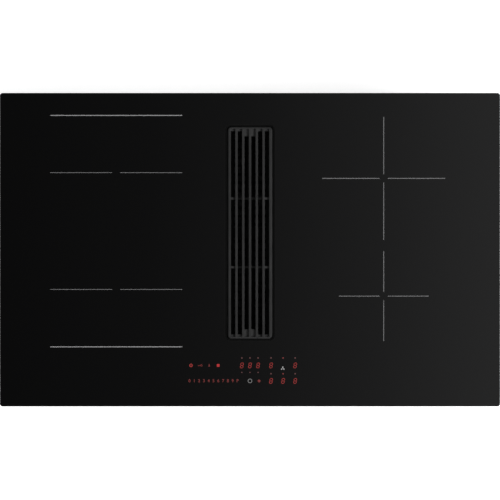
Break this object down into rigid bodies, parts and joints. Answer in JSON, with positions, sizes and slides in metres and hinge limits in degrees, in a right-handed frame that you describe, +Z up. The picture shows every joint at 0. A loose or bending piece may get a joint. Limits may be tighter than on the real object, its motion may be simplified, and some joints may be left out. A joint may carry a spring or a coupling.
{
  "type": "downdraft induction cooktop",
  "caption": "Built-in induction cooktop: black glass plate with a cast grille over a central air intake, and a filter, drip tray, blower and flat duct outlet underneath.",
  "frame": {"origin": "under the middle of the glass, on the surface that the blower housing and air shaft stand on", "axes": "+X to the user's right along the long side, +Y to the back, +Z up out of the glass"},
  "size_m": [0.83, 0.52, 0.211],
  "materials": {
    "black_glass": "polished black glass ceramic",
    "print_grey": "fired enamel print",
    "cast_black": "fine sand-cast texture, matt black enamel",
    "collar_black": "satin",
    "foam_seal": "matt foam",
    "silicone": "matt",
    "galvanised": "zinc-coated sheet",
    "filter_steel": "steel sheet, baked matt black",
    "duct_plastic": "moulded, fine grain",
    "tray_plastic": "moulded, fine grain",
    "fan_black": "moulded",
    "motor_steel": "turned",
    "copper": "enamelled copper",
    "screw_steel": "bright zinc",
    "carrier_aluminium": "mill finish",
    "mica": "pressed mica",
    "former_board": "matt",
    "ferrite": "matt",
    "sensor_white": "matt",
    "circuit_green": "solder resist",
    "parts_dark": "moulded cases and sleeves",
    "light_plastic": "moulded, light grey",
    "display_red": "tinted cast resin"
  },
  "bodies": {
    "hob": {"glass_plate": "black_glass", "zone_print": "print_grey", "worktop_seal": "foam_seal", "glass_frame": "galvanised", "intake_collar": "collar_black", "collar_seal": "silicone", "air_shaft": "duct_plastic", "inlet_hood": "duct_plastic", "scroll_body": "duct_plastic", "scroll_cover": "duct_plastic", "motor_stator": "copper", "motor_base": "carrier_aluminium", "motor_bearings": "motor_steel", "outlet_spigot": "duct_plastic", "blower_control": "duct_plastic", "blower_screws": "screw_steel", "case_pan": "galvanised", "case_screws": "screw_steel", "fan_guards": "fan_black", "coil_carrier_left": "carrier_aluminium", "coil_carrier_right": "carrier_aluminium", "coil_former_left_rear": "former_board", "coil_former_left_front": "former_board", "coil_former_right_rear": "former_board", "coil_former_right_front": "former_board", "winding_left_rear": "copper", "winding_left_front": "copper", "winding_right_rear": "copper", "winding_right_front": "copper", "mica_sheets": "mica", "ferrite_bars": "ferrite", "coil_sensors": "sensor_white", "carrier_posts": "screw_steel", "power_board_left": "circuit_green", "power_board_right": "circuit_green", "heatsinks": "carrier_aluminium", "board_parts": "parts_dark", "fan_frames": "fan_black", "control_board": "circuit_green", "control_carrier": "light_plastic", "touch_springs": "carrier_aluminium", "display_modules": "display_red", "terminal_box": "light_plastic", "cable_gland": "fan_black", "clamp_screws": "screw_steel"},
    "grille": {"grille": "cast_black", "grille_feet": "silicone"},
    "grease_filter": {"filter_frame": "filter_steel", "filter_mesh": "filter_steel"},
    "drip_tray": {"drip_tray": "tray_plastic"},
    "impeller": {"impeller": "duct_plastic", "rotor_bell": "motor_steel", "motor_shaft": "motor_steel"},
    "fan_left": {"fan_rotor_left": "fan_black"},
    "fan_right": {"fan_rotor_right": "fan_black"},
    "terminal_cover": {"terminal_cover": "light_plastic"},
    "clamp_left_rear": {"clamp_left_rear": "galvanised"},
    "clamp_left_front": {"clamp_left_front": "galvanised"},
    "clamp_right_rear": {"clamp_right_rear": "galvanised"},
    "clamp_right_front": {"clamp_right_front": "galvanised"}
  },
  "joints": [
    {"name": "grille_lift", "type": "slide", "parent": "hob", "child": "grille", "axis": [0, 0, 1], "range_m": [0, 0.3]},
    {"name": "filter_lift", "type": "slide", "parent": "hob", "child": "grease_filter", "axis": [0, 0, 1], "range_m": [0, 0.18]},
    {"name": "tray_slide", "type": "slide", "parent": "hob", "child": "drip_tray", "axis": [0, -1, 0], "range_m": [0, 0.35]},
    {"name": "impeller_spin", "type": "hinge", "parent": "hob", "child": "impeller", "pos_m": [0.18764, 0.054, 0.04], "axis": [0, 0, 1], "continuous": true},
    {"name": "fan_left_spin", "type": "hinge", "parent": "hob", "child": "fan_left", "pos_m": [-0.2225, -0.115, 0.163], "axis": [0, 0, 1], "continuous": true},
    {"name": "fan_right_spin", "type": "hinge", "parent": "hob", "child": "fan_right", "pos_m": [0.2225, -0.115, 0.163], "axis": [0, 0, 1], "continuous": true},
    {"name": "terminal_cover_hinge", "type": "hinge", "parent": "hob", "child": "terminal_cover", "pos_m": [-0.24, 0.1377, 0.118], "axis": [-1, 0, 0], "range_deg": [0, 100]},
    {"name": "clamp_left_rear_swivel", "type": "hinge", "parent": "hob", "child": "clamp_left_rear", "pos_m": [-0.374, 0.215, 0.137], "axis": [0, 0, 1], "range_deg": [0, 90]},
    {"name": "clamp_left_front_swivel", "type": "hinge", "parent": "hob", "child": "clamp_left_front", "pos_m": [-0.374, -0.215, 0.137], "axis": [0, 0, -1], "range_deg": [0, 90]},
    {"name": "clamp_right_rear_swivel", "type": "hinge", "parent": "hob", "child": "clamp_right_rear", "pos_m": [0.374, 0.215, 0.137], "axis": [0, 0, -1], "range_deg": [0, 90]},
    {"name": "clamp_right_front_swivel", "type": "hinge", "parent": "hob", "child": "clamp_right_front", "pos_m": [0.374, -0.215, 0.137], "axis": [0, 0, 1], "range_deg": [0, 90]}
  ],
  "couplings": [
    {"joint": "filter_lift", "follows": "grille_lift", "ratio": 0.6}
  ]
}
